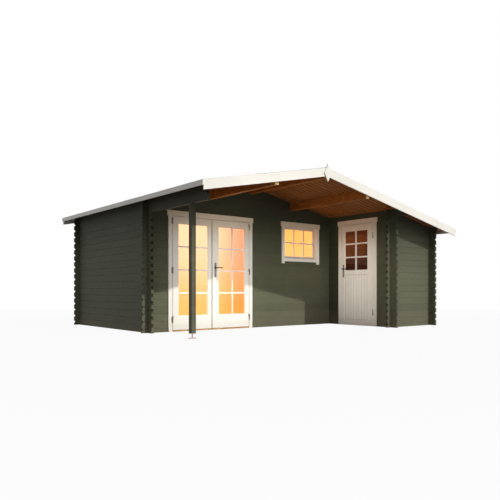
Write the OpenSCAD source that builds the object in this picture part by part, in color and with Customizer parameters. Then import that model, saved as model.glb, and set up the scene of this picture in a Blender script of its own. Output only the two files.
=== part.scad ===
// Log garden house with a covered porch and a side room under one long roof slope.
// The house is drawn from its front left outer corner, then set on the middle of its footprint.

/* [Logs] */
// Height of one log course
log_h = 114; // [100:1:130]
// Thickness of the log walls
wall_t = 40; // [34:1:60]
// Length of the log ends that pass a corner sideways
stub_x = 92; // [60:1:110]
// Length of the log ends that pass a corner to the front or back
stub_y = 125; // [100:1:150]
// Chamfer on the corners of the log ends
end_chamfer = 27; // [12:1:27]
// Depth of the groove between two courses
groove = 4; // [2:0.5:8]

/* [Plan] */
// Width of the main room over its walls
main_w = 4000; // [3700:10:4600]
// Depth of the main room over its walls
main_d = 2740; // [2300:10:3400]
// Depth of the porch in front of the main room
porch_d = 1480; // [1400:10:1800]
// Width that the side room adds to the right
side_w = 1150; // [900:10:1500]
// Thickness of the floor boards
floor_t = 28; // [19:1:40]

/* [Roof] */
// Courses in the left wall below the roof
left_courses = 18; // [18:1:20]
// Courses of the left eave beam
beam_courses = 2; // [1:1:3]
// Slope of both roof sides
roof_angle = 11.3; // [8:0.1:12]
// Roof overhang beyond the left wall
eave_left = 197; // [150:1:300]
// Roof overhang beyond the right wall
eave_right = 266; // [150:1:350]
// Roof overhang in front of the side room
overhang_front = 336; // [280:1:400]
// Roof overhang behind the back wall
overhang_back = 255; // [170:1:350]
// Thickness of the roof boards
roof_board_t = 19; // [16:1:28]
// Thickness of the roofing felt
felt_t = 4; // [2:0.5:8]
// Width of the purlins
purlin_w = 70; // [50:1:90]
// Height of the middle purlins at their centre
purlin_h = 145; // [110:1:160]
// Height of the ridge purlin at its centre
ridge_h = 130; // [110:1:160]
// Place of the middle purlins, from the ridge
purlin_off = 960; // [800:1:1100]
// Distance of the purlin ends behind the front edge of the roof boards
purlin_setback = 18; // [10:1:90]
// Distance of the eave beam ends behind the front edge of the roof boards
beam_setback = 192; // [60:1:240]
// Height of the bargeboards
barge_h = 127; // [100:1:160]
// Thickness of the white trim boards on roof, doors and window
trim_t = 18; // [14:1:24]
// Drop of the bargeboards below the underside of the roof boards
barge_drop = 106; // [60:1:110]
// Height of the eave fascia
fascia_h = 66; // [50:1:90]
// Width of the apex plate
apex_w = 140; // [100:1:200]
// Height of the apex plate
apex_h = 262; // [220:1:320]
// Rise of the apex plate above the bargeboards
apex_rise = 49; // [10:1:60]

/* [Post] */
// Side of the square porch post
post_w = 70; // [60:1:90]
// Distance of the post in front of the main room
post_y = 1231; // [1000:1:1300]
// Height of the post above the ground
post_lift = 72; // [50:1:120]
// Diameter of the threaded rod in the post foot
rod_d = 16; // [12:1:24]
// Side of the steel foot plate
foot_w = 80; // [70:1:100]
// Thickness of the steel foot plates
foot_t = 6; // [4:1:10]

/* [Doors] */
// Left side of the double door opening, from the left corner
door_in = 384; // [300:1:500]
// Width of the sides of the door and window frames
jamb_w = 40; // [30:1:50]
// Width of the side door, and half the clear width of the double door
leaf_w = 755; // [640:1:800]
// Distance of the meeting line from the middle of the double door
meet_shift = 22; // [0:1:30]
// Thickness of a door leaf
leaf_t = 40; // [34:1:50]
// Width of the stiles and the top rail of a leaf
stile_w = 104; // [80:1:130]
// Width of the left leaf's stile at the meeting line
meet_stile = 66; // [60:1:130]
// Width of the right leaf's stile at the hinges
right_stile = 85; // [70:1:130]
// Distance of the side door's field from the middle of the leaf, towards the lock
field_shift = 20; // [0:1:24]
// Height of the bottom rail of the double door
low_rail = 214; // [150:1:300]
// Gap round each leaf
leaf_gap = 8; // [6:0.5:12]
// Height of the door sill
sill_h = 18; // [12:1:30]
// Courses in the height of the double door opening, above the half course at the ground
door_courses = 16; // [15:1:16]
// Width of the door casing
casing_w = 68; // [50:1:90]
// Height of the head trim over doors and window
head_h = 84; // [60:1:100]
// Length of the head trim past the casing at each side
head_ear = 20; // [0:1:40]
// Height of the head trim above the opening
head_up = 24; // [5:1:40]
// Depth of the door frames behind the front face
frame_d = 62; // [56:1:90]
// Depth that the frame stop covers behind the leaf
stop_w = 14; // [8:1:20]
// Gap between a leaf and the frame stop
seal_gap = 5; // [3:0.5:8]
// Thickness of the glass
glass_t = 8; // [4:1:14]
// Width of the cover strip where the leaves meet
strip_w = 34; // [20:1:50]
// Place of the side door, from the front wall of the main room
side_door_y = 340; // [250:1:380]
// Height of the board panel in the side door
panel_h = 847; // [700:1:960]
// Height of the rail under that panel
side_low_rail = 75; // [60:1:140]
// Height of the rail between panel and glass
lock_rail = 70; // [60:1:140]
// Thickness of the board panel
panel_t = 22; // [16:1:28]
// Distance of the board panel from the back of the leaf
panel_back = 4; // [0:1:10]

/* [Hardware] */
// Diameter of the hinge knuckles
knuckle_d = 16; // [12:1:18]
// Diameter of the hinge pins
pin_d = 8; // [6:0.5:9]
// Clearance round the hinge pins
pin_clear = 0.3; // [0.2:0.05:0.5]
// Height of one hinge
hinge_h = 100; // [70:1:110]
// Play between the two halves of a hinge
hinge_play = 0.3; // [0.2:0.05:0.5]
// Distance of the pin end below the top of a hinge
pin_short = 1; // [0.5:0.5:4]
// Width of the hinge plates
hinge_w = 12; // [10:1:30]
// Thickness of the hinge and handle plates
plate_t = 3; // [2:0.5:5]
// Height of the lowest hinge of the double door above the foot of the leaf
hinge_low = 167; // [120:1:220]
// Distance of its highest hinge from the top of the leaf
hinge_top = 70; // [60:1:220]
// Distance of the side door's hinges from the ends of the leaf
side_hinge_end = 225; // [120:1:260]
// Height of the handle plates
handle_h = 245; // [200:1:280]
// Length of a handle plate below the lever
handle_low = 160; // [120:1:180]
// Width of the handle plates
handle_w = 38; // [30:1:48]
// Height of the lever above the ground
lever_z = 1025; // [950:1:1100]
// Length of the lever
lever_l = 108; // [100:1:140]
// Diameter of the neck of the lever
lever_d = 18; // [14:1:22]
// Diameter of the tip of the lever
lever_tip_d = 13; // [10:1:16]
// Diameter of the collar behind the lever
collar_d = 30; // [24:1:36]
// Height of that collar
collar_h = 6; // [4:1:10]
// Distance of the lever axis from the leaf
lever_out = 52; // [44:1:70]
// Distance of the double door's handle from the edge of the leaf
pair_handle_in = 71; // [60:1:80]
// Distance of the side door's handle from the edge of the leaf
handle_in = 54; // [44:1:60]

/* [Window] */
// Share of the free wall between double door and side wall that lies left of the window
window_share = 0.7; // [0.4:0.05:0.8]
// Width of the window opening
window_w = 897; // [700:1:950]
// Courses in the height of the window opening
window_courses = 6; // [5:1:7]
// Length of the window casing below the opening
casing_leg = 54; // [40:1:80]
// Width of the sash
sash_w = 36; // [28:1:60]
// Thickness of the sash
sash_t = 36; // [28:1:45]
// Distance of the sash behind the face of the wall
sash_back = 44; // [10:1:50]
// Height of the window apron
apron_h = 54; // [45:1:80]

/* [Hidden] */
$fn = 48;
// Length that a cutting block passes the cut piece
cut = 1;
// Joint between two boards that meet
hairline = 1;
quarter = log_h / 4;
house_w = main_w + side_w;
ridge_x = main_w / 2;
side_x = main_w - wall_t;
right_x = house_w - wall_t;
back_y = main_d - wall_t;
slope = tan(roof_angle);
eave_z = left_courses * log_h;
ridge_z = eave_z + slope * ridge_x;
clear_z = ridge_z + log_h;
roof_front = -porch_d - overhang_front;
roof_back = main_d + overhang_back;
roof_left = -eave_left;
roof_right = house_w + eave_right;
roof_v = roof_board_t / cos(roof_angle);
felt_v = felt_t / cos(roof_angle);
barge_v = barge_h / cos(roof_angle);
mid_x = (roof_left - trim_t + roof_right + trim_t) / 2;
mid_y = (roof_front + roof_back) / 2;

beam_z = eave_z - beam_courses * log_h;
right_top = under_z(house_w);
right_beam_z = (round(right_top / log_h) - 1) * log_h;
beam_front = roof_front + beam_setback;
purlin_front = roof_front + purlin_setback;
purlin_back = roof_back - purlin_setback;

opening_top = (door_courses + 0.5) * log_h;
leaf_front = -trim_t;
leaf_back = leaf_front + leaf_t;
stop_y = leaf_back + seal_gap;
door_left = door_in;
left_x0 = door_left + jamb_w + leaf_gap;
left_x1 = left_x0 + leaf_w - meet_shift;
right_x0 = left_x1 + leaf_gap;
right_x1 = right_x0 + leaf_w + meet_shift;
door_right = right_x1 + leaf_gap + jamb_w;
leaf_z0 = sill_h + leaf_gap;
leaf_z1 = opening_top + head_up - head_h - leaf_gap;
left_field_x0 = left_x0 + stile_w;
left_field_x1 = left_x1 - meet_stile;
right_field_x0 = right_x0 + strip_w + stile_w;
right_field_x1 = right_x1 - right_stile;
field_z0 = leaf_z0 + low_rail;
field_z1 = leaf_z1 - stile_w;
right_handle_x = right_x0 + pair_handle_in;

side_top = (door_courses + 1) * log_h;
side_x0 = side_door_y;
side_x1 = side_x0 + leaf_w;
side_y1 = -side_x0 + leaf_gap + jamb_w;
side_y0 = -side_x1 - leaf_gap - jamb_w;
side_z1 = side_top + head_up - head_h - leaf_gap;
side_lift = (side_top - opening_top) / 2;
side_z0 = leaf_z0;
side_field_x0 = side_x0 + stile_w - field_shift;
side_field_x1 = side_x1 - stile_w - field_shift;
side_field_z1 = side_z1 - stile_w;
side_panel_z0 = side_z0 + side_low_rail;
side_panel_z1 = side_panel_z0 + panel_h;
side_field_z0 = side_panel_z1 + lock_rail;
side_handle_x = side_x0 + handle_in;

// Heights of the hinges on the leaves
pair_hinges = [for (i = [0:2]) leaf_z0 + hinge_low + i * (leaf_z1 - leaf_z0 - hinge_low - hinge_top) / 2];
side_hinges = [side_z0 + side_hinge_end, side_z1 - side_hinge_end];
axis_y = leaf_front - knuckle_d / 2;
axis_in = leaf_gap / 2;
left_axis_x = left_x0 - axis_in;
right_axis_x = right_x1 + axis_in;
side_axis_x = side_x1 + axis_in;

window_x = door_right + window_share * (side_x - door_right - window_w);
window_z1 = opening_top;
window_z0 = window_z1 - window_courses * log_h;
window_d = sash_back + sash_t;
sash_x0 = window_x + jamb_w;
sash_x1 = window_x + window_w - jamb_w;
sash_z0 = window_z0 + jamb_w;
sash_z1 = window_z1 + head_up - head_h;

GREEN = "#6b6f59";
WHITE = "#f2f1ec";
BROWN = "#8a6240";
STEEL = "#54565a";
GLASS = "#f0b45a";
SILL = "#c07a38";
FELT = "#5b5d5e";

// Underside of the roof boards over a place across the house
function under_z(x) = ridge_z - slope * abs(x - ridge_x);

// Course joints between two heights, with the ends; the courses of crossing walls are half a log apart.
// A strip of less than a quarter log stays part of the log next to it
function courses(z0, z1, first) =
    let (n0 = ceil((z0 + quarter) / log_h - first), n1 = floor((z1 - quarter) / log_h - first))
    concat([z0], [for (k = [n0:1:n1]) (k + first) * log_h], [z1]);

// One upright edge of a log stack, with a notch of the given depth at each course joint
function log_edge(a, side, joints, depth) =
    concat([[a, joints[0]]],
           [for (i = [1:1:len(joints) - 2])
               each (depth > 0
                   ? [[a, joints[i] - depth], [a - side * depth, joints[i]], [a, joints[i] + depth]]
                   : [])],
           [[a, joints[len(joints) - 1]]]);

function reversed(list) = [for (i = [len(list) - 1:-1:0]) list[i]];

function log_outline(a0, a1, joints, depth0, depth1) =
    concat(log_edge(a1, 1, joints, depth1), reversed(log_edge(a0, -1, joints, depth0)));

module place() {
    translate([-mid_x, -mid_y, 0]) children();
}

// Extrudes an (x, z) outline backwards from y0 to y1
module along_y(y0, y1) {
    translate([0, y1, 0]) rotate([90, 0, 0]) linear_extrude(y1 - y0) children();
}

// Extrudes a (y, z) outline to the right from x0 to x1
module along_x(x0, x1) {
    translate([x0, 0, 0]) rotate([90, 0, 90]) linear_extrude(x1 - x0) children();
}

module block(x0, x1, y0, y1, z0, z1) {
    translate([x0, y0, z0]) cube([x1 - x0, y1 - y0, z1 - z0]);
}

// Stack of logs that runs across the house, with its first joint half a log up
module x_logs(x0, x1, y0, z0, z1, end0 = 0, end1 = 0) {
    joints = courses(z0, z1, 0.5);
    intersection() {
        along_y(y0, y0 + wall_t) polygon(log_outline(x0, x1, joints, end0, end1));
        along_x(x0, x1) polygon(log_outline(y0, y0 + wall_t, joints, groove, groove));
    }
}

// Stack of logs that runs from front to back, with whole logs from the ground up
module y_logs(y0, y1, x0, z0, z1, end0 = 0, end1 = 0) {
    joints = courses(z0, z1, 0);
    intersection() {
        along_x(x0, x0 + wall_t) polygon(log_outline(y0, y1, joints, end0, end1));
        along_y(y0, y1) polygon(log_outline(x0, x0 + wall_t, joints, groove, groove));
    }
}

// Saddle notches at one corner, from the joint below z0 up; first is the joint offset of the cut wall
module saddle_notches(x, y, first, z0, z1) {
    for (k = [floor(z0 / log_h - first):1:ceil(z1 / log_h - first)])
        translate([x, y, (k + first) * log_h - quarter]) cube([wall_t, wall_t, 2 * quarter]);
}

// Space below the roof boards
module below_roof() {
    along_y(roof_front, roof_back)
        polygon([[roof_left, -log_h], [roof_right, -log_h], [roof_right, under_z(roof_right)],
                 [ridge_x, ridge_z], [roof_left, under_z(roof_left)]]);
}

module purlin_bar(x, h) {
    intersection() {
        block(x - purlin_w / 2, x + purlin_w / 2, purlin_front, purlin_back, under_z(x) - h, clear_z);
        below_roof();
    }
}

module purlin_slots() {
    for (x = [ridge_x - purlin_off, ridge_x + purlin_off])
        block(x - purlin_w / 2, x + purlin_w / 2, roof_front, roof_back, under_z(x) - purlin_h, clear_z);
    block(ridge_x - purlin_w / 2, ridge_x + purlin_w / 2, roof_front, roof_back, ridge_z - ridge_h, clear_z);
}

module left_wall() {
    color(GREEN) place() difference() {
        y_logs(-stub_y, main_d + stub_y, 0, 0, beam_z, end_chamfer, end_chamfer);
        saddle_notches(0, 0, 0, 0, beam_z);
        saddle_notches(0, back_y, 0, 0, beam_z);
    }
}

module left_eave_beam() {
    color(GREEN) place() intersection() {
        difference() {
            y_logs(beam_front, main_d + stub_y, 0, beam_z, under_z(wall_t) + cut, end_chamfer, end_chamfer);
            saddle_notches(0, 0, 0, beam_z, eave_z);
            saddle_notches(0, back_y, 0, beam_z, eave_z);
        }
        below_roof();
    }
}

module right_wall() {
    color(GREEN) place() difference() {
        y_logs(-porch_d - stub_y, main_d + stub_y, right_x, 0, right_beam_z, end_chamfer, end_chamfer);
        saddle_notches(right_x, -porch_d, 0, 0, right_beam_z);
        saddle_notches(right_x, back_y, 0, 0, right_beam_z);
    }
}

module right_eave_beam() {
    color(GREEN) place() intersection() {
        difference() {
            y_logs(beam_front, main_d + stub_y, right_x, right_beam_z, under_z(right_x) + cut,
                   end_chamfer, end_chamfer);
            saddle_notches(right_x, -porch_d, 0, right_beam_z, right_top);
            saddle_notches(right_x, back_y, 0, right_beam_z, right_top);
        }
        below_roof();
    }
}

module back_wall() {
    color(GREEN) place() intersection() {
        difference() {
            x_logs(-stub_x, house_w + stub_x, back_y, 0, clear_z, end_chamfer, end_chamfer);
            saddle_notches(0, back_y, 0.5, 0, eave_z);
            saddle_notches(right_x, back_y, 0.5, 0, right_top);
            block(side_x, main_w, back_y, main_d, side_top, clear_z);
            purlin_slots();
        }
        below_roof();
    }
}

module front_wall_left() {
    color(GREEN) place() difference() {
        x_logs(-stub_x, door_left, 0, 0, opening_top, end_chamfer, 0);
        saddle_notches(0, 0, 0.5, 0, opening_top);
    }
}

module front_wall_right() {
    color(GREEN) place() difference() {
        x_logs(door_right, main_w + stub_x, 0, 0, opening_top, 0, end_chamfer);
        saddle_notches(side_x, 0, 0.5, 0, opening_top);
        block(window_x, window_x + window_w, -cut, wall_t + cut, window_z0, window_z1 + cut);
    }
}

module front_gable() {
    color(GREEN) place() intersection() {
        difference() {
            x_logs(-stub_x, main_w + stub_x, 0, opening_top, clear_z, end_chamfer, end_chamfer);
            saddle_notches(0, 0, 0.5, opening_top, eave_z);
            saddle_notches(side_x, 0, 0.5, opening_top, eave_z);
            purlin_slots();
        }
        below_roof();
    }
}

module side_wall_rear() {
    color(GREEN) place() difference() {
        y_logs(side_y1, wall_t + stub_y, side_x, 0, side_top, 0, end_chamfer);
        saddle_notches(side_x, 0, 0, 0, side_top);
    }
}

module side_wall_front() {
    color(GREEN) place() difference() {
        y_logs(-porch_d - stub_y, side_y0, side_x, 0, side_top, end_chamfer, 0);
        saddle_notches(side_x, -porch_d, 0, 0, side_top);
    }
}

// The top log over the side door runs on to the back wall and carries the roof
module side_wall_top() {
    color(GREEN) place() intersection() {
        difference() {
            y_logs(purlin_front, main_d, side_x, side_top, under_z(side_x) + cut, end_chamfer, 0);
            saddle_notches(side_x, 0, 0, side_top, eave_z);
            saddle_notches(side_x, -porch_d, 0, side_top, eave_z);
        }
        below_roof();
    }
}

module side_room_front_wall() {
    color(GREEN) place() intersection() {
        difference() {
            x_logs(side_x - stub_x, house_w + stub_x, -porch_d, 0, eave_z, end_chamfer, end_chamfer);
            saddle_notches(side_x, -porch_d, 0.5, 0, eave_z);
            saddle_notches(right_x, -porch_d, 0.5, 0, eave_z);
        }
        below_roof();
    }
}

// Deck of the main room, cut out round the log ends and the door frame that reach into it
module main_floor() {
    color(BROWN) place() difference() {
        block(wall_t, right_x, wall_t, back_y, 0, floor_t);
        block(side_x, main_w, 0, wall_t + stub_y, -cut, floor_t + cut);
        block(door_left, door_right, 0, frame_d, -cut, floor_t + cut);
    }
}

module side_floor() {
    color(BROWN) place() difference() {
        block(main_w, right_x, -porch_d + wall_t, wall_t, 0, floor_t);
        block(main_w - cut, main_w + stub_x, 0, wall_t + cut, -cut, floor_t + cut);
        block(side_x, side_x + frame_d, side_y0, side_y1, -cut, floor_t + cut);
    }
}

module porch_post() {
    color(GREEN) place()
        block(wall_t / 2 - post_w / 2, wall_t / 2 + post_w / 2, -post_y - post_w / 2, -post_y + post_w / 2,
              post_lift, beam_z);
}

module post_foot() {
    color(STEEL) place() translate([wall_t / 2, -post_y, 0]) {
        translate([-foot_w / 2, -foot_w / 2, 0]) cube([foot_w, foot_w, foot_t]);
        cylinder(d = rod_d, h = post_lift);
        translate([-foot_w / 2, -foot_w / 2, post_lift - foot_t]) cube([foot_w, foot_w, foot_t]);
    }
}

module ridge_purlin() {
    color(BROWN) place() purlin_bar(ridge_x, ridge_h);
}

module left_purlin() {
    color(BROWN) place() purlin_bar(ridge_x - purlin_off, purlin_h);
}

module right_purlin() {
    color(BROWN) place() purlin_bar(ridge_x + purlin_off, purlin_h);
}

// Sheet on one roof side, from x0 to x1, between two heights above the underside of the boards
module roof_sheet(x0, x1, low, high, y0, y1) {
    along_y(y0, y1)
        polygon([[x0, under_z(x0) + low], [x1, under_z(x1) + low],
                 [x1, under_z(x1) + high], [x0, under_z(x0) + high]]);
}

module roof_boards_left() {
    color(BROWN) place() roof_sheet(roof_left, ridge_x, 0, roof_v, roof_front, roof_back);
}

module roof_boards_right() {
    color(BROWN) place() roof_sheet(ridge_x, roof_right, 0, roof_v, roof_front, roof_back);
}

module roof_felt() {
    ends = [roof_left, ridge_x, roof_right];
    color(FELT) place() along_y(roof_front, roof_back)
        polygon(concat([for (x = ends) [x, under_z(x) + roof_v]],
                       [for (x = reversed(ends)) [x, under_z(x) + roof_v + felt_v]]));
}

// The two boards of one gable meet at the ridge with a hairline joint
module bargeboards(y0) {
    high = barge_v - barge_drop;
    roof_sheet(roof_left, ridge_x - hairline / 2, -barge_drop, high, y0, y0 + trim_t);
    roof_sheet(ridge_x + hairline / 2, roof_right, -barge_drop, high, y0, y0 + trim_t);
}

module apex_plate(y0) {
    top = ridge_z + barge_v - barge_drop + apex_rise;
    along_y(y0, y0 + trim_t)
        polygon([[ridge_x, top], [ridge_x + apex_w / 2, top - apex_h / 2], [ridge_x, top - apex_h],
                 [ridge_x - apex_w / 2, top - apex_h / 2]]);
}

module front_bargeboards() {
    color(WHITE) place() bargeboards(roof_front - trim_t);
}

module front_apex_plate() {
    color(WHITE) place() apex_plate(roof_front - 2 * trim_t);
}

module back_bargeboards() {
    color(WHITE) place() bargeboards(roof_back);
}

module back_apex_plate() {
    color(WHITE) place() apex_plate(roof_back + trim_t);
}

module eave_fascias() {
    color(WHITE) place() {
        y0 = roof_front - trim_t;
        y1 = roof_back + trim_t;
        left_z = under_z(roof_left) + roof_v;
        right_z = under_z(roof_right) + roof_v;
        block(roof_left - trim_t, roof_left, y0, y1, left_z - fascia_h, left_z);
        block(roof_right, roof_right + trim_t, y0, y1, right_z - fascia_h, right_z);
    }
}

// One side of a doorway: jamb, stop above the sill and casing; the clear opening lies at the given side of x
module frame_side(x, side, z1, head_z0) {
    block(min(x, x - side * jamb_w), max(x, x - side * jamb_w), 0, frame_d, 0, z1);
    block(min(x, x + side * stop_w), max(x, x + side * stop_w), stop_y, frame_d, sill_h, z1);
    block(min(x, x - side * casing_w), max(x, x - side * casing_w), -trim_t, 0, 0, head_z0);
}

// Frame with casing and head trim round a doorway; local x runs along the wall, y goes in
module frame_set(x0, x1, z1) {
    head_z0 = z1 + head_up - head_h;
    inner0 = x0 + jamb_w;
    inner1 = x1 - jamb_w;
    ear = casing_w + head_ear;
    frame_side(inner0, 1, z1, head_z0);
    frame_side(inner1, -1, z1, head_z0);
    block(x0, x1, 0, frame_d, head_z0, z1);
    block(x0, x1, stop_y, frame_d, head_z0 - stop_w, z1);
    block(inner0 - ear, inner1 + ear, -trim_t, 0, head_z0, z1 + head_up);
}

module door_frame() {
    color(WHITE) place() frame_set(door_left, door_right, opening_top);
}

module door_sill() {
    color(SILL) place() block(door_left + jamb_w, door_right - jamb_w, -trim_t, frame_d, 0, sill_h);
}

// Opening of a glazed field, from front to back through a leaf
module field_hole(x0, x1, z0, z1) {
    block(x0, x1, leaf_front - cut, leaf_back + cut, z0, z1);
}

module pane(x0, x1, z0, z1) {
    mid = (leaf_front + leaf_back) / 2;
    block(x0, x1, mid - glass_t / 2, mid + glass_t / 2, z0, z1);
}

module left_leaf() {
    color(WHITE) place() difference() {
        block(left_x0, left_x1, leaf_front, leaf_back, leaf_z0, leaf_z1);
        field_hole(left_field_x0, left_field_x1, field_z0, field_z1);
    }
}

module left_leaf_glass() {
    color(GLASS) place() pane(left_field_x0, left_field_x1, field_z0, field_z1);
}

module right_leaf() {
    color(WHITE) place() {
        difference() {
            block(right_x0, right_x1, leaf_front, leaf_back, leaf_z0, leaf_z1);
            field_hole(right_field_x0, right_field_x1, field_z0, field_z1);
        }
        block(right_x0, right_x0 + strip_w, leaf_front - trim_t, leaf_front, leaf_z0, leaf_z1);
    }
}

module right_leaf_glass() {
    color(GLASS) place() pane(right_field_x0, right_field_x1, field_z0, field_z1);
}

// Half hinge on the leaf: a plate and an upper knuckle on the axis at x = 0; side is +1 if the leaf lies at +x
module leaf_hinge(side) {
    difference() {
        union() {
            cylinder(d = knuckle_d, h = hinge_h / 2 - hinge_play);
            plate_x(side, axis_in + hinge_w, hinge_h / 2 - hinge_play);
        }
        translate([0, 0, -cut]) cylinder(d = pin_d + 2 * pin_clear, h = hinge_h);
    }
}

// Half hinge on the casing: a plate, a lower knuckle and the pin
module frame_hinge(side) {
    translate([0, 0, -hinge_h / 2]) {
        cylinder(d = knuckle_d, h = hinge_h / 2);
        plate_x(side, axis_in + hinge_w, hinge_h / 2);
        cylinder(d = pin_d, h = hinge_h - pin_short);
    }
}

// Plate on the face of the leaf or casing, with its back on that face
module plate_x(side, length, height) {
    translate([side > 0 ? 0 : -length, knuckle_d / 2 - plate_t, 0]) cube([length, plate_t, height]);
}

module left_leaf_hinges() {
    color(STEEL) place()
        for (z = pair_hinges) translate([left_axis_x, axis_y, z]) leaf_hinge(1);
}

module right_leaf_hinges() {
    color(STEEL) place()
        for (z = pair_hinges) translate([right_axis_x, axis_y, z]) leaf_hinge(-1);
}

// Handle plate with round ends and the hole that the lever turns in; the axis is at x = 0, z = 0
module handle_plate() {
    low = handle_w / 2 - handle_low;
    high = handle_h - handle_low - handle_w / 2;
    difference() {
        union() {
            translate([-handle_w / 2, -plate_t, low]) cube([handle_w, plate_t, high - low]);
            for (z = [low, high]) translate([0, 0, z]) rotate([90, 0, 0]) cylinder(d = handle_w, h = plate_t);
        }
        rotate([90, 0, 0]) translate([0, 0, -cut]) cylinder(d = lever_d + 2 * pin_clear, h = plate_t + 2 * cut);
    }
}

// Lever: a neck on the axis with a collar, a round bend and a grip that tapers to the given side
module lever(side) {
    rotate([90, 0, 0]) cylinder(d = lever_d, h = lever_out);
    translate([0, -plate_t - pin_clear, 0]) rotate([90, 0, 0]) cylinder(d = collar_d, h = collar_h);
    translate([0, -lever_out, 0]) {
        sphere(d = lever_d);
        rotate([0, side * 90, 0]) {
            cylinder(d1 = lever_d, d2 = lever_tip_d, h = lever_l);
            translate([0, 0, lever_l]) sphere(d = lever_tip_d);
        }
    }
}

module right_handle_plate() {
    color(STEEL) place() translate([right_handle_x, leaf_front, lever_z]) handle_plate();
}

module right_lever() {
    color(STEEL) place() translate([right_handle_x, leaf_front, lever_z]) lever(1);
}

// Turns a piece drawn for a front wall into the left face of the side room, x along the wall to the front
module to_side() {
    translate([side_x, 0, 0]) rotate([0, 0, -90]) children();
}

module side_door_frame() {
    color(WHITE) place() to_side() {
        frame_set(-side_y1, -side_y0, side_top);
        block(-side_y1 + jamb_w, -side_y0 - jamb_w, 0, frame_d, 0, sill_h);
    }
}

module side_leaf() {
    color(WHITE) place() to_side() {
        difference() {
            block(side_x0, side_x1, leaf_front, leaf_back, side_z0, side_z1);
            field_hole(side_field_x0, side_field_x1, side_field_z0, side_field_z1);
            field_hole(side_field_x0, side_field_x1, side_panel_z0, side_panel_z1);
        }
        panel_y1 = leaf_back - panel_back;
        block(side_field_x0 - cut, side_field_x1 + cut, panel_y1 - panel_t, panel_y1,
              side_panel_z0 - cut, side_panel_z1 + cut);
    }
}

module side_leaf_glass() {
    color(GLASS) place() to_side()
        pane(side_field_x0, side_field_x1, side_field_z0, side_field_z1);
}

module side_leaf_hinges() {
    color(STEEL) place() to_side()
        for (z = side_hinges) translate([side_axis_x, axis_y, z]) leaf_hinge(-1);
}

module side_handle_plate() {
    color(STEEL) place() to_side() translate([side_handle_x, leaf_front, lever_z + side_lift]) handle_plate();
}

module side_lever() {
    color(STEEL) place() to_side() translate([side_handle_x, leaf_front, lever_z + side_lift]) lever(1);
}

module frame_hinges() {
    color(STEEL) place() {
        for (z = pair_hinges) {
            translate([left_axis_x, axis_y, z]) frame_hinge(-1);
            translate([right_axis_x, axis_y, z]) frame_hinge(1);
        }
        to_side() for (z = side_hinges) translate([side_axis_x, axis_y, z]) frame_hinge(1);
    }
}

module window_frame() {
    x1 = window_x + window_w;
    ear = casing_w + head_ear;
    color(WHITE) place() {
        difference() {
            block(window_x, x1, 0, window_d, window_z0, window_z1);
            block(sash_x0, sash_x1, -cut, window_d + cut, sash_z0, sash_z1);
        }
        for (x = [sash_x0 - casing_w, sash_x1])
            block(x, x + casing_w, -trim_t, 0, window_z0 - casing_leg, sash_z1);
        block(sash_x0 - ear, sash_x1 + ear, -trim_t, 0, sash_z1, window_z1 + head_up);
        block(sash_x0, sash_x1, -trim_t, 0, sash_z0 - apron_h, sash_z0);
    }
}

module window_sash() {
    color(WHITE) place() difference() {
        block(sash_x0, sash_x1, sash_back, window_d, sash_z0, sash_z1);
        block(sash_x0 + sash_w, sash_x1 - sash_w, sash_back - cut, window_d + cut,
              sash_z0 + sash_w, sash_z1 - sash_w);
    }
}

module window_glass() {
    mid = (sash_back + window_d) / 2;
    color(GLASS) place()
        block(sash_x0 + sash_w, sash_x1 - sash_w, mid - glass_t / 2, mid + glass_t / 2,
              sash_z0 + sash_w, sash_z1 - sash_w);
}

left_wall();
back_wall();
right_wall();
front_wall_left();
front_wall_right();
front_gable();
side_wall_rear();
side_wall_front();
side_wall_top();
side_room_front_wall();
left_eave_beam();
right_eave_beam();
porch_post();
post_foot();
ridge_purlin();
left_purlin();
right_purlin();
roof_boards_left();
roof_boards_right();
roof_felt();
front_bargeboards();
front_apex_plate();
back_bargeboards();
back_apex_plate();
eave_fascias();
main_floor();
side_floor();
door_frame();
door_sill();
left_leaf();
left_leaf_glass();
left_leaf_hinges();
right_leaf();
right_leaf_glass();
right_leaf_hinges();
right_handle_plate();
right_lever();
side_door_frame();
side_leaf();
side_leaf_glass();
side_leaf_hinges();
side_handle_plate();
side_lever();
frame_hinges();
window_frame();
window_sash();
window_glass();
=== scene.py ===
import math

import bmesh
import bpy
from mathutils import Matrix, Vector, noise


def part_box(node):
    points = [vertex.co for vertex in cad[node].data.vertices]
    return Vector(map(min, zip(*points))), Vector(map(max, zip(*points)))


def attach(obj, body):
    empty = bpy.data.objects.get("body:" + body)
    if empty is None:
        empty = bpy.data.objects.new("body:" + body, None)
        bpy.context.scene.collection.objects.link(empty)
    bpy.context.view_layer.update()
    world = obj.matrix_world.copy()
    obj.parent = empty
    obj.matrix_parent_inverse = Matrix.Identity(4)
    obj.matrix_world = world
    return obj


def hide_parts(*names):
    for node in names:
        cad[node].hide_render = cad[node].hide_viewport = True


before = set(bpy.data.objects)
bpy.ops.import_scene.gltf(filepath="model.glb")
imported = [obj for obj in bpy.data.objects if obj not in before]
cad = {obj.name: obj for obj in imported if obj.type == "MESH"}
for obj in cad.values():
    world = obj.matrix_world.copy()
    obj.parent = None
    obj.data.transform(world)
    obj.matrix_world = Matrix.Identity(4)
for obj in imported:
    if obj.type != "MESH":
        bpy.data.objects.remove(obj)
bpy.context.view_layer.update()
scene = bpy.context.scene

# house corner: outer face of the left wall, porch face of the front wall
corner = Vector((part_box("left_wall")[0].x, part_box("front_wall_left")[0].y, 0.0))
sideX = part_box("side_wall_rear")[0].x
print("frame loaded:", len(cad), "nodes")


# small helpers for node trees

def srgb(*levels):
    shares = [v / 255.0 for v in levels]
    return (*(s / 12.92 if s <= 0.04045 else ((s + 0.055) / 1.055) ** 2.4 for s in shares), 1.0)


def plug(tree, value, socket):
    if isinstance(value, bpy.types.NodeSocket):
        tree.links.new(value, socket)
    else:
        socket.default_value = value


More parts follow.
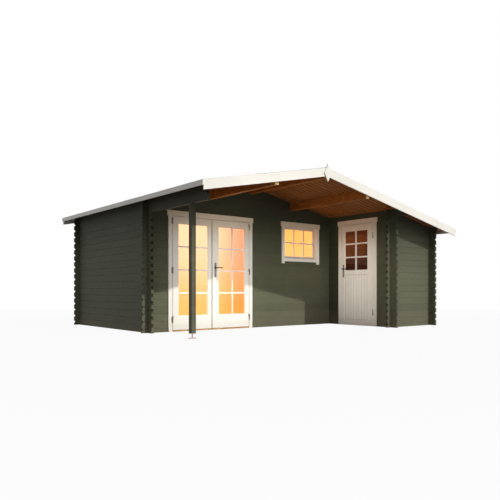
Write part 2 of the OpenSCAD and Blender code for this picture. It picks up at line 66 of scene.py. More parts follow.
def addNode(tree, kind, feeds=None, **props):
    node = tree.nodes.new(kind)
    for key, value in props.items():
        setattr(node, key, value)
    for key, value in (feeds or {}).items():
        plug(tree, value, node.inputs[key])
    return node


def calc(tree, operation, a, b=0.0):
    return addNode(tree, "ShaderNodeMath", {0: a, 1: b}, operation=operation).outputs[0]


# sum of values times weights
def weigh(tree, *pairs):
    parts = [calc(tree, "MULTIPLY", value, weight) for value, weight in pairs]
    total = parts[0]
    for part in parts[1:]:
        total = calc(tree, "ADD", total, part)
    return total


def ramp(tree, value, low, high, toLow=0.0, toHigh=1.0):
    feeds = dict(enumerate((value, low, high, toLow, toHigh)))
    return addNode(tree, "ShaderNodeMapRange", feeds, interpolation_type="SMOOTHSTEP").outputs[0]


def mixColour(tree, fac, a, b):
    return addNode(tree, "ShaderNodeMix", {0: fac, 6: a, 7: b}, data_type="RGBA").outputs[2]


# moves a colour towards another by a share of a mask
def tint(tree, colour, target, mask, share):
    return mixColour(tree, calc(tree, "MULTIPLY", mask, share), colour, target)


def axesOf(tree, vector):
    return addNode(tree, "ShaderNodeSeparateXYZ", {0: vector}).outputs


# how squarely a face looks along an axis, either way
def facing(tree, axis):
    normal = addNode(tree, "ShaderNodeNewGeometry").outputs["True Normal"]
    return calc(tree, "ABSOLUTE", axesOf(tree, normal)["xyz".index(axis)])


def stretch(tree, vector, scale, turn=(0, 0, 0)):
    return addNode(tree, "ShaderNodeMapping", {"Vector": vector, "Scale": scale, "Rotation": turn}).outputs[0]


def noiseOf(tree, vector, scale, detail=3.0, rough=0.5, twist=0.0):
    return addNode(tree, "ShaderNodeTexNoise", {
        "Vector": vector, "Scale": scale, "Detail": detail, "Roughness": rough, "Distortion": twist}).outputs[0]


def newGroup(name, inputs, outputs):
    tree = bpy.data.node_groups.new(name, "ShaderNodeTree")
    for label, kind, value in inputs:
        socket = tree.interface.new_socket(label, in_out="INPUT", socket_type="NodeSocket" + kind)
        if value is not None:
            socket.default_value = value
    for label in outputs:
        tree.interface.new_socket(label, in_out="OUTPUT", socket_type="NodeSocketFloat")
    return tree, tree.nodes.new("NodeGroupInput").outputs, tree.nodes.new("NodeGroupOutput").inputs


def useGroup(tree, group, feeds):
    return addNode(tree, "ShaderNodeGroup", feeds, node_tree=group).outputs


def newMaterial(name, **sockets):
    mat = bpy.data.materials.new(name)
    mat.use_nodes = True
    tree = mat.node_tree
    shader = tree.nodes["Principled BSDF"]
    for key, value in sockets.items():
        shader.inputs[key.replace("_", " ")].default_value = value
    coords = addNode(tree, "ShaderNodeTexCoord").outputs["Object"]
    return mat, tree, shader, coords


def finish(tree, shader, colour, rough, relief, strength, distance):
    plug(tree, colour, shader.inputs["Base Color"])
    plug(tree, rough, shader.inputs["Roughness"])
    bump = addNode(tree, "ShaderNodeBump", {"Height": relief, "Strength": strength, "Distance": distance})
    plug(tree, bump.outputs[0], shader.inputs["Normal"])


# shared surface effects

# growth rings, fibres and a few knots; the grain runs along x of the given vector
def makeGrain():
    tree, gin, gout = newGroup("woodGrain", [("Vector", "Vector", None), ("Ring Scale", "Float", 9.0)],
                               ["Rings", "Fibres", "Knots"])
    along = gin["Vector"]
    wander = noiseOf(tree, stretch(tree, along, (0.6, 3.0, 3.0)), 1.0, 2.0)
    across = addNode(tree, "ShaderNodeVectorMath", {
        0: stretch(tree, along, (0.25, 1.0, 1.0)), "Scale": gin["Ring Scale"]}, operation="SCALE")
    rings = noiseOf(tree, across.outputs[0], 1.0, 3.0, 0.55, 1.2)
    rings = calc(tree, "FRACT", calc(tree, "ADD", calc(tree, "MULTIPLY", rings, 5.0), wander))
    rings = calc(tree, "ABSOLUTE", calc(tree, "SUBTRACT", calc(tree, "MULTIPLY", rings, 2.0), 1.0))
    plug(tree, ramp(tree, rings, 0.05, 0.95), gout["Rings"])
    plug(tree, noiseOf(tree, stretch(tree, along, (6.0, 260.0, 260.0)), 1.0, 2.0, 0.6), gout["Fibres"])
    spots = addNode(tree, "ShaderNodeTexVoronoi", {
        "Vector": stretch(tree, along, (1.3, 4.2, 4.2)), "Scale": 1.0, "Randomness": 1.0})
    plug(tree, ramp(tree, spots.outputs["Distance"], 0.10, 0.05), gout["Knots"])
    return tree


# one random tone and a dark joint for each board or log along a coordinate
def makeCourses():
    tree, gin, gout = newGroup("boardCourses", [
        ("Along", "Float", 0.0), ("Width", "Float", 0.1), ("Start", "Float", 0.0), ("Joint", "Float", 0.003),
        ("Seed", "Float", 0.0)], ["Tone", "Joint Mask"])
    place = calc(tree, "DIVIDE", calc(tree, "SUBTRACT", gin["Along"], gin["Start"]), gin["Width"])
    number = calc(tree, "ADD", calc(tree, "FLOOR", place), gin["Seed"])
    tone = addNode(tree, "ShaderNodeTexWhiteNoise", noise_dimensions="1D")
    plug(tree, number, tone.inputs["W"])
    edge = calc(tree, "ABSOLUTE", calc(tree, "SUBTRACT", calc(tree, "FRACT", place), 0.5))
    gap = calc(tree, "MULTIPLY", calc(tree, "SUBTRACT", 0.5, edge), gin["Width"])
    plug(tree, tone.outputs[0], gout["Tone"])
    plug(tree, ramp(tree, gap, gin["Joint"], 0.0), gout["Joint Mask"])
    return tree


# 1 on faces that bound the two rooms, 0 outdoors
def makeIndoors():
    tree, gin, gout = newGroup("indoorFaces", [("Position", "Vector", None)], ["Inside"])
    axes = axesOf(tree, gin["Position"])
    skin = 0.007

    def within(floor):
        lo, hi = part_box(floor)
        tests = [calc(tree, "MULTIPLY", calc(tree, "GREATER_THAN", axes[i], lo[i] - skin),
                      calc(tree, "LESS_THAN", axes[i], hi[i] + skin)) for i in (0, 1)]
        return calc(tree, "MULTIPLY", *tests)

    plug(tree, calc(tree, "MAXIMUM", within("main_floor"), within("side_floor")), gout["Inside"])
    return tree


# soft blotches, and dust that gathers near the ground
def makeWeather():
    tree, gin, gout = newGroup("weathering", [("Position", "Vector", None), ("Splash Height", "Float", 0.3)],
                               ["Blotch", "Splash"])
    plug(tree, ramp(tree, noiseOf(tree, gin["Position"], 1.7, 4.0, 0.6), 0.3, 0.7), gout["Blotch"])
    rough = calc(tree, "MULTIPLY", noiseOf(tree, gin["Position"], 14.0, 3.0), gin["Splash Height"])
    height = calc(tree, "SUBTRACT", axesOf(tree, gin["Position"])[2], rough)
    plug(tree, ramp(tree, height, gin["Splash Height"], 0.0), gout["Splash"])
    return tree


grainGroup = makeGrain()
courseGroup = makeCourses()
indoorGroup = makeIndoors()
weatherGroup = makeWeather()

# turns that lay the grain along x, y or z
grainTurn = {"x": (0, 0, 0), "y": (0, 0, math.pi / 2), "z": (0, math.pi / 2, 0)}


def grainAlong(tree, coords, axis, ringScale=9.0):
    turned = stretch(tree, coords, (1, 1, 1), grainTurn[axis])
    return useGroup(tree, grainGroup, {"Vector": turned, "Ring Scale": ringScale})


# colours of the logs; the very dark green, with its span of heights and its share, is painted shade under the eaves
logLook = {
    "paint": srgb(98, 100, 81), "paintDark": srgb(86, 88, 70), "joint": srgb(54, 56, 44),
    "notch": srgb(30, 32, 24), "mud": srgb(128, 122, 104), "paintedShadeColour": srgb(32, 33, 24),
    "paintedShadeSpan": (0.9, 2.1), "paintedShade": 0.72, "logHeight": 0.114, "spruce": srgb(206, 164, 112),
    "spruceDark": srgb(168, 120, 72), "knot": srgb(112, 68, 36), "gap": srgb(90, 58, 32),
}


# green satin paint outdoors, bare spruce on the room side; porch is the y span of the porch's depth, where painted
# shade deepens towards the back
def makeLogs(name, axis, start, porch=None):
    look = logLook
    mat, tree, shader, coords = newMaterial(name, Specular_IOR_Level=0.15)
    grain = grainAlong(tree, coords, axis)
    axes = axesOf(tree, coords)
    logs = useGroup(tree, courseGroup, {
        "Along": axes[2], "Width": look["logHeight"], "Start": start, "Joint": 0.006, "Seed": 3.0 + start})
    weather = useGroup(tree, weatherGroup, {"Position": coords, "Splash Height": 0.22})
    inside = useGroup(tree, indoorGroup, {"Position": coords})["Inside"]
    tone = weigh(tree, (logs["Tone"], 0.5), (grain["Rings"], 0.25), (weather["Blotch"], 0.25))
    paint = mixColour(tree, tone, look["paintDark"], look["paint"])
    # painted shade: the green darkens up under the eaves and deep in the porch, where shade falls
    paintedShade = ramp(tree, axes[2], *look["paintedShadeSpan"], 0.0, look["paintedShade"])
    if porch:
        paintedShade = calc(tree, "MAXIMUM", paintedShade, ramp(tree, axes[1], *porch, 0.0, look["paintedShade"]))
    paint = mixColour(tree, paintedShade, paint, look["paintedShadeColour"])
    paint = tint(tree, paint, look["mud"], weather["Splash"], 0.18)
    paint = tint(tree, paint, look["joint"], logs["Joint Mask"], 0.2)
    if axis != "z":  # painted shade on the chamfers between the log ends
        lean = facing(tree, axis)
        notch = calc(tree, "MULTIPLY", calc(tree, "GREATER_THAN", lean, 0.5), calc(tree, "LESS_THAN", lean, 0.9))
        paint = tint(tree, paint, look["notch"], notch, 0.75)
    wood = weigh(tree, (grain["Rings"], 0.6), (logs["Tone"], 0.4))
    wood = mixColour(tree, wood, look["spruceDark"], look["spruce"])
    wood = tint(tree, wood, look["knot"], grain["Knots"], 0.85)
    wood = tint(tree, wood, look["gap"], logs["Joint Mask"], 0.7)
    rough = ramp(tree, weigh(tree, (grain["Fibres"], 1.0), (inside, 0.2)), 0.2, 1.0, 0.55, 0.75)
    relief = weigh(tree, (grain["Fibres"], 0.5), (grain["Rings"], 0.5))
    finish(tree, shader, mixColour(tree, inside, paint, wood), rough, relief, 0.25, 0.002)
    return mat


paintLook = {
    "white": srgb(242, 240, 234), "shade": srgb(230, 226, 217), "dustAndShade": srgb(196, 188, 172),
    "shadeGrey": srgb(112, 102, 90), "warmShade": srgb(207, 189, 164), "eaveShadeSpan": (1.3, 1.95),
}


# white satin paint, with the grain of the wood faint under it; grooves is the x span where painted shade darkens the
# board grooves; the last two arguments set a film of painted shade over the whole part and painted warm shade
# under the eaves
def makeWhite(name, axis, grooves=None, shadeFilm=0.0, eaveShade=0.0):
    look = paintLook
    mat, tree, shader, coords = newMaterial(name, Specular_IOR_Level=0.4)
    grain = grainAlong(tree, coords, axis, 14.0)
    axes = axesOf(tree, coords)
    weather = useGroup(tree, weatherGroup, {"Position": coords, "Splash Height": 0.12})
    tone = weigh(tree, (grain["Rings"], 0.15), (weather["Blotch"], 0.3))
    colour = mixColour(tree, tone, look["white"], look["shade"])
    colour = tint(tree, colour, look["dustAndShade"], weather["Splash"], 0.25)
    if grooves:
        # painted shade deep in the grooves between the boards
        start, full = grooves
        dustAndShade = calc(tree, "MULTIPLY", ramp(tree, axes[0], start, full),
                    ramp(tree, axes[0], full + 0.008, full + 0.007))
        colour = tint(tree, colour, look["shadeGrey"], dustAndShade, 0.3)
    if eaveShade:
        # painted warm shade on the upper part, under the eaves
        colour = mixColour(tree, ramp(tree, axes[2], *look["eaveShadeSpan"], 0.0, eaveShade), colour, look["warmShade"])
    if shadeFilm:
        # a blotchy film of painted shade over the whole part
        colour = mixColour(tree, ramp(tree, weather["Blotch"], 0.0, 1.0, shadeFilm * 0.8, shadeFilm), colour, look["shadeGrey"])
    rough = ramp(tree, grain["Fibres"], 0.2, 0.9, 0.34, 0.52)
    finish(tree, shader, colour, rough, weigh(tree, (grain["Fibres"], 0.6), (grain["Rings"], 0.4)), 0.16, 0.0012)
    return mat


# stained or oiled wood; boardTone varies it where boards carry that attribute, and faces that look along y, such as
# sawn ends or board edges, take the edge colour
def makeWood(name, axis, dark, light, knot, gloss, toneShare=0.0, boardWidth=0.0, edge=None):
    mat, tree, shader, coords = newMaterial(name, Specular_IOR_Level=0.25)
    tone = addNode(tree, "ShaderNodeAttribute", attribute_name="boardTone").outputs["Fac"]
    shift = addNode(tree, "ShaderNodeCombineXYZ", {0: calc(tree, "MULTIPLY", tone, 31.0)}).outputs[0]
    turned = stretch(tree, coords, (1, 1, 1), grainTurn[axis])
    moved = addNode(tree, "ShaderNodeVectorMath", {0: turned, 1: shift}, operation="ADD").outputs[0]
    grain = useGroup(tree, grainGroup, {"Vector": moved, "Ring Scale": 9.0})
    mixed = weigh(tree, (grain["Rings"], 0.65 - toneShare), (grain["Fibres"], 0.35), (tone, toneShare))
    colour = mixColour(tree, mixed, dark, light)
    colour = tint(tree, colour, knot, grain["Knots"], 0.85)
    if boardWidth:
        rows = useGroup(tree, courseGroup, {
            "Along": axesOf(tree, coords)[0], "Width": boardWidth, "Joint": 0.002, "Seed": 5.0})
        colour = tint(tree, colour, knot, rows["Tone"], 0.3)
        colour = tint(tree, colour, srgb(52, 32, 18), rows["Joint Mask"], 0.9)
    if edge:
        colour = mixColour(tree, calc(tree, "GREATER_THAN", facing(tree, "y"), 0.3), colour, edge)
    rough = ramp(tree, grain["Fibres"], 0.2, 0.9, gloss, gloss + 0.2)
    finish(tree, shader, colour, rough, weigh(tree, (grain["Fibres"], 0.6), (grain["Rings"], 0.4)), 0.3, 0.0015)
    return mat


# coated metal with fine scratches; past the plated x place it has the brighter pair of colours
def makeMetal(name, colour, worn, metal, rough, plated=None):
    mat, tree, shader, coords = newMaterial(name, Metallic=metal)
    if plated:
        far = calc(tree, "GREATER_THAN", axesOf(tree, coords)[0], plated[0])
        colour, worn = mixColour(tree, far, colour, plated[1]), mixColour(tree, far, worn, plated[2])
    fine = noiseOf(tree, coords, 900.0, 2.0)
    rub = ramp(tree, noiseOf(tree, coords, 26.0, 4.0, 0.65), 0.56, 0.72)
    dull = ramp(tree, weigh(tree, (fine, 0.5), (rub, 0.5)), 0.1, 0.9, rough, rough + 0.25)
    finish(tree, shader, mixColour(tree, rub, colour, worn), dull, fine, 0.08, 0.0003)
    return mat


# one random value for each cell of a pattern
def cellsOf(tree, coords, scale):
    cells = addNode(tree, "ShaderNodeTexVoronoi", {"Vector": coords, "Scale": scale})
    return addNode(tree, "ShaderNodeSeparateColor", {0: cells.outputs["Color"]}).outputs[0]


# zinc coat with flakes of crystal
def makeZinc(name, dull, bright):
    mat, tree, shader, coords = newMaterial(name, Metallic=0.9)
    flakes = cellsOf(tree, coords, 140.0)
    rough = ramp(tree, flakes, 0.0, 1.0, 0.32, 0.5)
    finish(tree, shader, mixColour(tree, flakes, dull, bright), rough, flakes, 0.05, 0.0004)
    return mat


# mineral felt: coarse grit in a few greys
def makeFelt(name):
    mat, tree, shader, coords = newMaterial(name, Specular_IOR_Level=0.3)
    grit = cellsOf(tree, coords, 420.0)
    weather = useGroup(tree, weatherGroup, {"Position": coords})
    colour = mixColour(tree, grit, srgb(74, 76, 78), srgb(122, 124, 124))
    colour = tint(tree, colour, srgb(88, 90, 88), weather["Blotch"], 0.4)
    relief = calc(tree, "ADD", grit, noiseOf(tree, coords, 60.0, 3.0))
    finish(tree, shader, colour, ramp(tree, grit, 0.0, 1.0, 0.78, 0.95), relief, 0.5, 0.002)
    return mat


# clear panes with a painted glow that stands in for the lit room behind them: the glow blends (left, right) colours
# at the top and below, over the spans in z and x; depth darkens painted folds of shade in it
def makeGlow(name, top, low, spanZ, spanX, glow, tone, depth=0.0):
    mat, tree, shader, coords = newMaterial(name, Metallic=0.0, Transmission_Weight=1.0, Roughness=0.03, IOR=1.45,
                                            Base_Color=tone, Emission_Strength=glow)
    axes = axesOf(tree, coords)
    soft = calc(tree, "MULTIPLY", calc(tree, "SUBTRACT", noiseOf(tree, coords, 2.6, 2.0), 0.5), 0.35)
    rise = calc(tree, "ADD", ramp(tree, axes[2], *spanZ), soft)
    across = ramp(tree, axes[0], *spanX)
    colour = mixColour(tree, rise, mixColour(tree, across, *low), mixColour(tree, across, *top))
    if depth:
        folds = noiseOf(tree, stretch(tree, coords, (1, 9.0, 3.0)), 3.0, 3.0, 0.6)
        colour = tint(tree, colour, srgb(26, 10, 6), ramp(tree, folds, 0.35, 0.65), depth)
    plug(tree, colour, shader.inputs["Emission Color"])
    return mat


logsAcross = makeLogs("logsAcross", "x", 0.057)
logsDeep = makeLogs("logsDeep", "y", 0.0)
logsPorch = makeLogs("logsPorch", "y", 0.0, (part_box("side_room_front_wall")[0].y - 0.5, corner.y))
postPaint = makeLogs("postPaint", "z", -4.0)
whiteUp = makeWhite("whiteUpright", "z", eaveShade=0.9)
whiteLong = makeWhite("whiteLong", "x")
whiteDeep = makeWhite("whiteDeep", "y")
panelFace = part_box("side_leaf")[0].x
whitePanel = makeWhite("whitePanel", "z", (panelFace + 0.007, panelFace + 0.013), eaveShade=0.9)
whiteSash = makeWhite("whiteSash", "x", shadeFilm=0.5)
soffitWood = makeWood("soffitWood", "x", srgb(116, 66, 25), srgb(174, 110, 50), srgb(74, 38, 16), 0.5, 0.3,
                      edge=srgb(84, 48, 20))
purlinWood = makeWood("purlinWood", "y", srgb(142, 84, 32), srgb(176, 110, 50), srgb(98, 54, 25), 0.5,
                      edge=srgb(226, 198, 142))
floorWood = makeWood("floorWood", "y", srgb(170, 124, 76), srgb(212, 170, 116), srgb(110, 66, 36), 0.5, 0.25, 0.114)
sillWood = makeWood("sillWood", "x", srgb(178, 128, 80), srgb(216, 172, 120), srgb(130, 84, 46), 0.35)
darkMetal = makeMetal("darkMetal", srgb(48, 46, 45), srgb(84, 80, 76), 0.6, 0.34)
plateMetal = makeMetal("plateMetal", srgb(128, 122, 115), srgb(156, 150, 144), 0.25, 0.42)
hingeMetal = makeMetal("hingeMetal", srgb(140, 132, 122), srgb(175, 168, 160), 0.25, 0.42,
                       (sideX - 0.2, srgb(158, 152, 146), srgb(190, 184, 178)))
zinc = makeZinc("zincSteel", srgb(150, 152, 154), srgb(196, 198, 199))
footZinc = makeZinc("footSteel", srgb(176, 152, 144), srgb(208, 186, 178))
felt = makeFelt("mineralFelt")
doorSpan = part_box("right_leaf_glass")[0].x - 0.15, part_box("right_leaf_glass")[1].x
paneGlow = makeGlow("paneGlow", (srgb(250, 202, 164), srgb(238, 150, 116)), (srgb(255, 176, 92), srgb(255, 142, 46)),
                    (0.2, 1.4), doorSpan, 0.84, srgb(190, 150, 100))
windowGlow = makeGlow("windowGlow", (srgb(255, 178, 96), srgb(255, 174, 84)),
                      (srgb(255, 184, 112), srgb(255, 180, 104)), (1.2, 1.8), (1.2, 1.6), 0.84, srgb(190, 150, 100))
sideGlow = makeGlow("sideGlow", (srgb(96, 38, 16),) * 2, (srgb(66, 34, 22),) * 2, (1.1, 1.5), (5.0, 6.0), 0.55,
                    srgb(120, 84, 66), 0.75)
print("materials:", len(bpy.data.materials))

dress = {
    logsAcross: ["back_wall", "front_wall_left", "front_wall_right", "front_gable", "side_room_front_wall"],
    logsDeep: ["left_wall", "right_wall", "left_eave_beam", "right_eave_beam"],
    logsPorch: ["side_wall_rear", "side_wall_front", "side_wall_top"],
    postPaint: ["porch_post"],
    whiteUp: ["door_frame", "left_leaf", "right_leaf", "side_door_frame", "window_frame"],
    whiteSash: ["window_sash"],
    whitePanel: ["side_leaf"],
    whiteLong: ["front_bargeboards", "front_apex_plate", "back_bargeboards", "back_apex_plate"],
    whiteDeep: ["eave_fascias"],
    soffitWood: ["roof_boards_left", "roof_boards_right"],
    purlinWood: ["ridge_purlin", "left_purlin", "right_purlin"],
    floorWood: ["main_floor", "side_floor"],
    sillWood: ["door_sill"],
    darkMetal: ["right_lever", "side_lever"],
    plateMetal: ["right_handle_plate", "side_handle_plate"],
    hingeMetal: ["left_leaf_hinges", "right_leaf_hinges", "side_leaf_hinges", "frame_hinges"],
    footZinc: ["post_foot"],
    felt: ["roof_felt"],
    paneGlow: ["left_leaf_glass", "right_leaf_glass"],
    windowGlow: ["window_glass"],
    sideGlow: ["side_leaf_glass"],
}
for mat, names in dress.items():
    for name in names:
        for slot in cad[name].material_slots:
            slot.link = "OBJECT"
            slot.material = mat


# small helpers for meshes

def linked(name, data):
    obj = bpy.data.objects.new(name, data)
    scene.collection.objects.link(obj)
    return obj


def objectFrom(name, bm, mat):
    bmesh.ops.recalc_face_normals(bm, faces=bm.faces)
    mesh = bpy.data.meshes.new(name)
    bm.to_mesh(mesh)
    bm.free()
    mesh.materials.append(mat)
    return linked(name, mesh)


def plainObject(name, verts, faces):
    mesh = bpy.data.meshes.new(name)
    mesh.from_pydata([tuple(v) for v in verts], [], faces)
    return linked(name, mesh)


# (u along the wall, d into it, z) of the front wall or of the side wall
def wallPoint(onSide, u, d, z):
    return Vector((d, -u, z)) if onSide else Vector((u, d, z))


def wallBox(node, onSide):
    lo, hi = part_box(node)
    if onSide:
        return Vector((-hi.y, lo.x, lo.z)), Vector((-lo.y, hi.x, hi.z))
    return lo, hi


# count places from low to high, both ends included
def spread(low, high, count):
    return [low + (high - low) * i / (count - 1) for i in range(count)]


# points on a circle, anticlockwise
def circle(radius, sides):
    return [(radius * math.cos(2 * math.pi * i / sides), radius * math.sin(2 * math.pi * i / sides))
            for i in range(sides)]


# band of faces between two closed loops
def bridge(bm, a, b):
    for i in range(len(a)):
        j = (i + 1) % len(a)
        bm.faces.new((a[i], a[j], b[j], b[i]))


# solid whose closed loops of points are joined in turn, with a cap at both ends
def addLoft(bm, loops):
    made = [[bm.verts.new(point) for point in loop] for loop in loops]
    bm.faces.new(made[0])
    bm.faces.new(made[-1])
    for a, b in zip(made, made[1:]):
        bridge(bm, a, b)


# bar with eased edges between two corners
def addBar(bm, lo, hi, ease, onSide):
    lo, hi = Vector(lo), Vector(hi)
    part = bmesh.new()
    bmesh.ops.create_cube(part, size=1.0)
    for v in part.verts:
        v.co = v.co * (hi - lo) + (lo + hi) / 2
    bmesh.ops.bevel(part, geom=part.edges[:], offset=ease, segments=2, profile=0.6, affect="EDGES")
    part.verts.index_update()
    made = [bm.verts.new(wallPoint(onSide, *v.co)) for v in part.verts]
    for f in part.faces:
        bm.faces.new([made[v.index] for v in f.verts])
    part.free()


# mitred moulding round a rectangle; the profile is (inset from the rectangle, depth)
def addMoulding(bm, u0, u1, z0, z1, profile, onSide):
    corners = ((u0, z0, 1, 1), (u1, z0, -1, 1), (u1, z1, -1, -1), (u0, z1, 1, -1))
    loops = [[bm.verts.new(wallPoint(onSide, u + inset * su, depth, z + inset * sz)) for inset, depth in profile]
             for u, z, su, sz in corners]
    for i in range(4):
        bridge(bm, loops[i], loops[(i + 1) % 4])


def onBody(obj, body, slot, *replaced):
    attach(obj, body)
    if replaced:
        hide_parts(*replaced)


def addPiece(name, bm, mat, body, slot):
    onBody(objectFrom(name, bm, mat), body, slot)


# geometry node trees

def newTree(name, sockets):
    tree = bpy.data.node_groups.new(name, "GeometryNodeTree")
    tree.interface.new_socket("Geometry", in_out="INPUT", socket_type="NodeSocketGeometry")
    keys = {}
    for label, kind in sockets + [("Finish", "Material")]:
        keys[label] = tree.interface.new_socket(label, in_out="INPUT", socket_type="NodeSocket" + kind).identifier
    tree.interface.new_socket("Geometry", in_out="OUTPUT", socket_type="NodeSocketGeometry")
    return tree, keys, tree.nodes.new("NodeGroupInput").outputs


# makes copies real, gives them their finish and hands them out
def endTree(tree, gin, shape):
    real = addNode(tree, "GeometryNodeRealizeInstances", {0: shape})
    done = addNode(tree, "GeometryNodeSetMaterial", {"Geometry": real.outputs[0], "Material": gin["Finish"]})
    plug(tree, done.outputs[0], tree.nodes.new("NodeGroupOutput").inputs[0])


def randomOf(tree, low, high, seed):
    return addNode(tree, "FunctionNodeRandomValue", {2: low, 3: high, "Seed": seed}, data_type="FLOAT").outputs[1]


# repeats the given board along a line and gives each copy its own tone
def makeRepeatTree():
    tree, keys, gin = newTree("boardRow", [("Count", "Int"), ("Step", "Vector"), ("Shift", "Float"), ("Seed", "Int")])
    line = addNode(tree, "GeometryNodeMeshLine", {"Count": gin["Count"], "Offset": gin["Step"]}, mode="OFFSET")
    sway = randomOf(tree, calc(tree, "MULTIPLY", gin["Shift"], -1.0), gin["Shift"], gin["Seed"])
    lift = addNode(tree, "ShaderNodeCombineXYZ", {2: sway})
    moved = addNode(tree, "GeometryNodeSetPosition", {"Geometry": line.outputs[0], "Offset": lift.outputs[0]})
    copies = addNode(tree, "GeometryNodeInstanceOnPoints", {
        "Points": moved.outputs[0], "Instance": gin["Geometry"]})
    tone = randomOf(tree, 0.0, 1.0, calc(tree, "ADD", gin["Seed"], 7.0))
    marked = addNode(tree, "GeometryNodeStoreNamedAttribute", {
        "Geometry": copies.outputs[0], "Name": "boardTone", "Value": tone}, data_type="FLOAT", domain="INSTANCE")
    endTree(tree, gin, marked.outputs[0])
    return tree, keys


# sets a fastener on each point, turned to the point's aim
def makeFastenTree():
    tree, keys, gin = newTree("fasteners", [("Fastener", "Object"), ("Size", "Float"), ("Seed", "Int")])
    head = addNode(tree, "GeometryNodeObjectInfo", {"Object": gin["Fastener"]})
    aim = addNode(tree, "GeometryNodeInputNamedAttribute", {"Name": "aim"}, data_type="FLOAT_VECTOR")
    spin = randomOf(tree, 0.0, math.pi, gin["Seed"])
    turn = addNode(tree, "FunctionNodeAxisAngleToRotation", {"Axis": (0, 0, 1), "Angle": spin})
    face = addNode(tree, "FunctionNodeAlignRotationToVector", {"Vector": aim.outputs[0]}, axis="Z")
    both = addNode(tree, "FunctionNodeRotateRotation", {0: face.outputs[0], 1: turn.outputs[0]},
                   rotation_space="LOCAL")
    size = addNode(tree, "ShaderNodeCombineXYZ", {0: gin["Size"], 1: gin["Size"], 2: gin["Size"]})
    copies = addNode(tree, "GeometryNodeInstanceOnPoints", {
        "Points": gin["Geometry"], "Instance": head.outputs["Geometry"], "Rotation": both.outputs[0],
        "Scale": size.outputs[0]})
    endTree(tree, gin, copies.outputs[0])
    return tree, keys


# threads of a rod: a small round profile on a spiral
def makeThreadTree():
    tree, keys, gin = newTree("rodThread", [
        ("Radius", "Float"), ("Height", "Float"), ("Turns", "Float"), ("Crest", "Float")])
    spiral = addNode(tree, "GeometryNodeCurveSpiral", {
        "Resolution": 20, "Rotations": gin["Turns"], "Start Radius": gin["Radius"], "End Radius": gin["Radius"],
        "Height": gin["Height"]})
    ring = addNode(tree, "GeometryNodeCurvePrimitiveCircle", {"Resolution": 5, "Radius": gin["Crest"]})
    thread = addNode(tree, "GeometryNodeCurveToMesh", {0: spiral.outputs[0], 1: ring.outputs[0], "Fill Caps": True})
    joined = addNode(tree, "GeometryNodeJoinGeometry")
    for shape in (gin["Geometry"], thread.outputs[0]):
        tree.links.new(shape, joined.inputs[0])
    endTree(tree, gin, joined.outputs[0])
    return tree, keys


repeatTree = makeRepeatTree()
fastenTree = makeFastenTree()
threadTree = makeThreadTree()


# runs a tree on a seed object and keeps the result as a plain mesh at the origin
def grow(seedObject, treeAndKeys, values, name):
    tree, keys = treeAndKeys
    mod = seedObject.modifiers.new("grow", "NODES")
    mod.node_group = tree
    for label, value in values.items():
        mod[keys[label]] = value
    bpy.context.view_layer.update()
    graph = bpy.context.evaluated_depsgraph_get()
    mesh = bpy.data.meshes.new_from_object(seedObject.evaluated_get(graph), preserve_all_data_layers=True,
                                           depsgraph=graph)
    mesh.name = name
    bpy.data.objects.remove(seedObject)
    return linked(name, mesh)


# roof boards, with a V joint on the underside
roofBoards = {"pitch": math.radians(11.3), "thickness": 0.019, "count": 49, "joint": 0.008, "gap": 0.002,
              "sway": 0.0003, "steps": 8}


def makeRoofBoards(node, side, seed):
    p = roofBoards
    lo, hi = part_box(node)
    slope = math.tan(p["pitch"]) * side
    thick = p["thickness"] / math.cos(p["pitch"])
    width = (hi.y - lo.y) / p["count"]
    v, g = p["joint"], p["gap"] / 2
    profile = ((g + v, 0.0), (width - g - v, 0.0), (width - g, v), (width - g, thick), (g, thick), (g, v))
    eave = lo.x if side > 0 else hi.x
    board = bmesh.new()
    addLoft(board, [[(x, lo.y + y, lo.z + slope * (x - eave) + z) for y, z in profile]
                    for x in spread(lo.x, hi.x, p["steps"] + 1)])
    boards = grow(objectFrom("board", board, soffitWood), repeatTree, {
        "Count": p["count"], "Step": (0.0, width, 0.0), "Shift": p["sway"], "Seed": seed, "Finish": soffitWood},
        node + "_planks")
    onBody(boards, "house", "bare_wood", node)


makeRoofBoards("roof_boards_left", 1, 4)
makeRoofBoards("roof_boards_right", -1, 9)
print("roof boards done")

# felt sheets that lap towards the ridge, and the ridge strip
feltSheets = {"width": 0.92, "lap": 0.08, "thickness": 0.003, "wave": 0.0015, "ridge": 0.15, "steps": 48,
              "edge": 0.004, "lift": 0.0002, "start": 0.002, "least": 0.1, "short": 0.02,
              "nailIn": 0.025, "nailEnd": 0.05, "nailStep": 0.11}
ridgeX = (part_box("ridge_purlin")[0].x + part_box("ridge_purlin")[1].x) / 2


